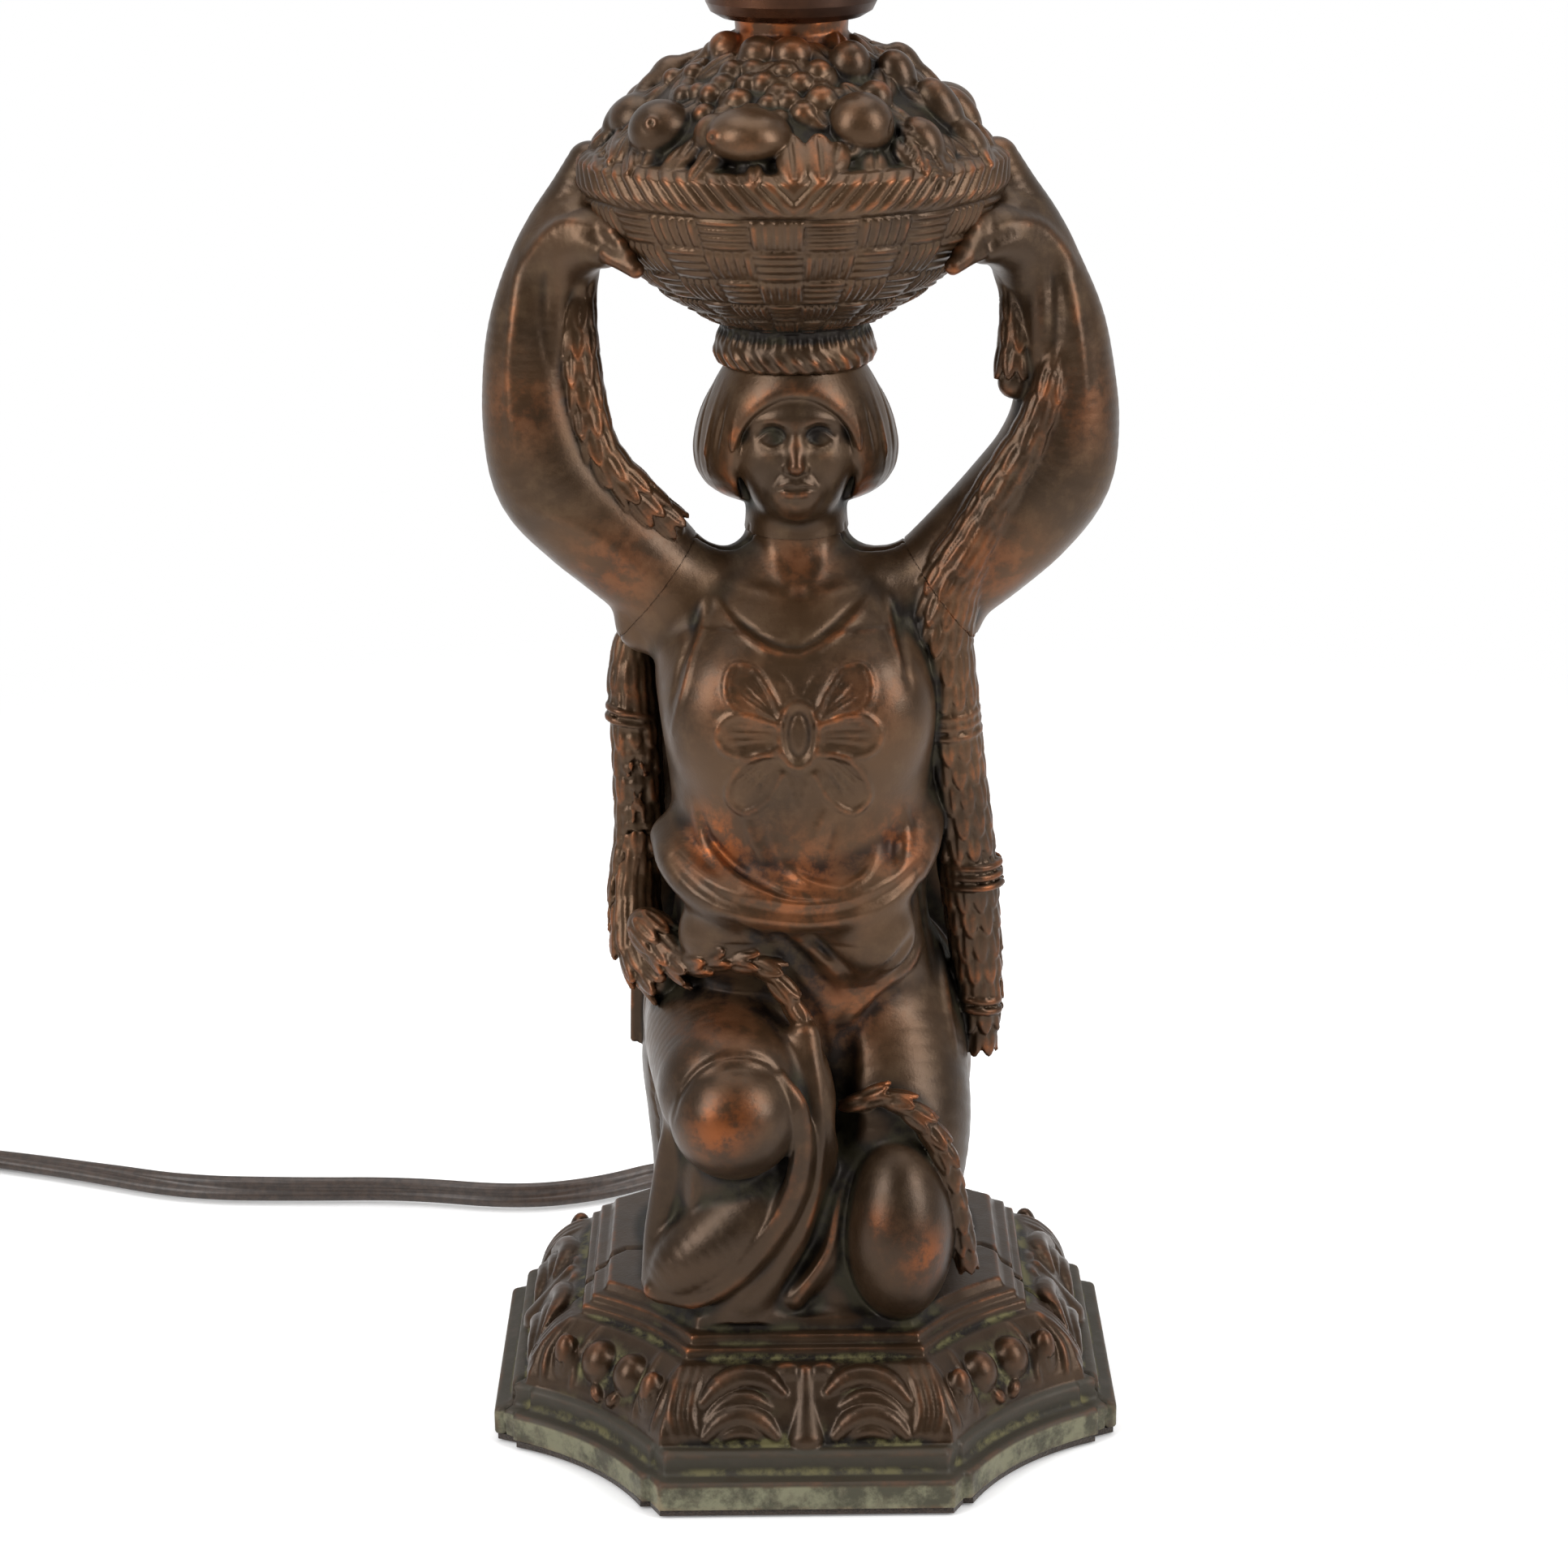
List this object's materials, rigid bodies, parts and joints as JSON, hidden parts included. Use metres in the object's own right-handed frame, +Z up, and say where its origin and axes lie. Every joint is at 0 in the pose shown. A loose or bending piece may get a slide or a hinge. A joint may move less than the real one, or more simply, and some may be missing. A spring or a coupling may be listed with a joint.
{
  "type": "figural table lamp",
  "caption": "Table lamp whose cast kneeling figure lifts a woven basket of fruit that carries the lamp socket, on a moulded plinth.",
  "frame": {"origin": "middle of the plinth's underside, on the table", "axes": "+Z up along the lamp pipe, -Y towards the figure's front, +X to the right of someone facing the figure"},
  "size_m": [0.3541, 0.2633, 0.3415],
  "materials": {
    "bronzed_spelter": "cast zinc alloy with a worn brown and copper bronze patina",
    "felt": "dark brown felt",
    "plated_steel": "zinc plated, satin",
    "antique_brass": "dark red-brown antique finish",
    "fibre_liner": "pressed fibre card",
    "black_phenolic": "moulded, semi-gloss",
    "spun_aluminium": "spun, bright",
    "contact_brass": "bright brass",
    "brown_vinyl": "dark brown vinyl, satin"
  },
  "bodies": {
    "root": {"felt_pad": "felt", "front_casting": "bronzed_spelter", "back_casting": "bronzed_spelter", "head": "bronzed_spelter", "left_arm": "bronzed_spelter", "right_arm": "bronzed_spelter", "basket": "bronzed_spelter", "fruit_lid": "bronzed_spelter", "lamp_pipe": "plated_steel", "bottom_washer": "plated_steel", "bottom_nut": "plated_steel", "top_nut": "plated_steel", "socket_cap": "antique_brass", "socket_shell": "antique_brass", "paper_liner": "fibre_liner", "socket_body": "black_phenolic", "screw_shell": "spun_aluminium", "centre_contact": "contact_brass", "terminal_screws": "contact_brass", "cord_bushing": "brown_vinyl", "inner_cord": "brown_vinyl", "cord": "brown_vinyl", "cord_coil": "brown_vinyl", "plug_body": "brown_vinyl", "plug_blades": "contact_brass"},
    "switch": {"switch_shaft": "plated_steel", "turn_knob": "black_phenolic"}
  },
  "joints": [
    {"name": "switch_turn", "type": "hinge", "parent": "root", "child": "switch", "pos_m": [0, 0, 0.3045], "axis": [1, 0, 0], "continuous": true}
  ]
}
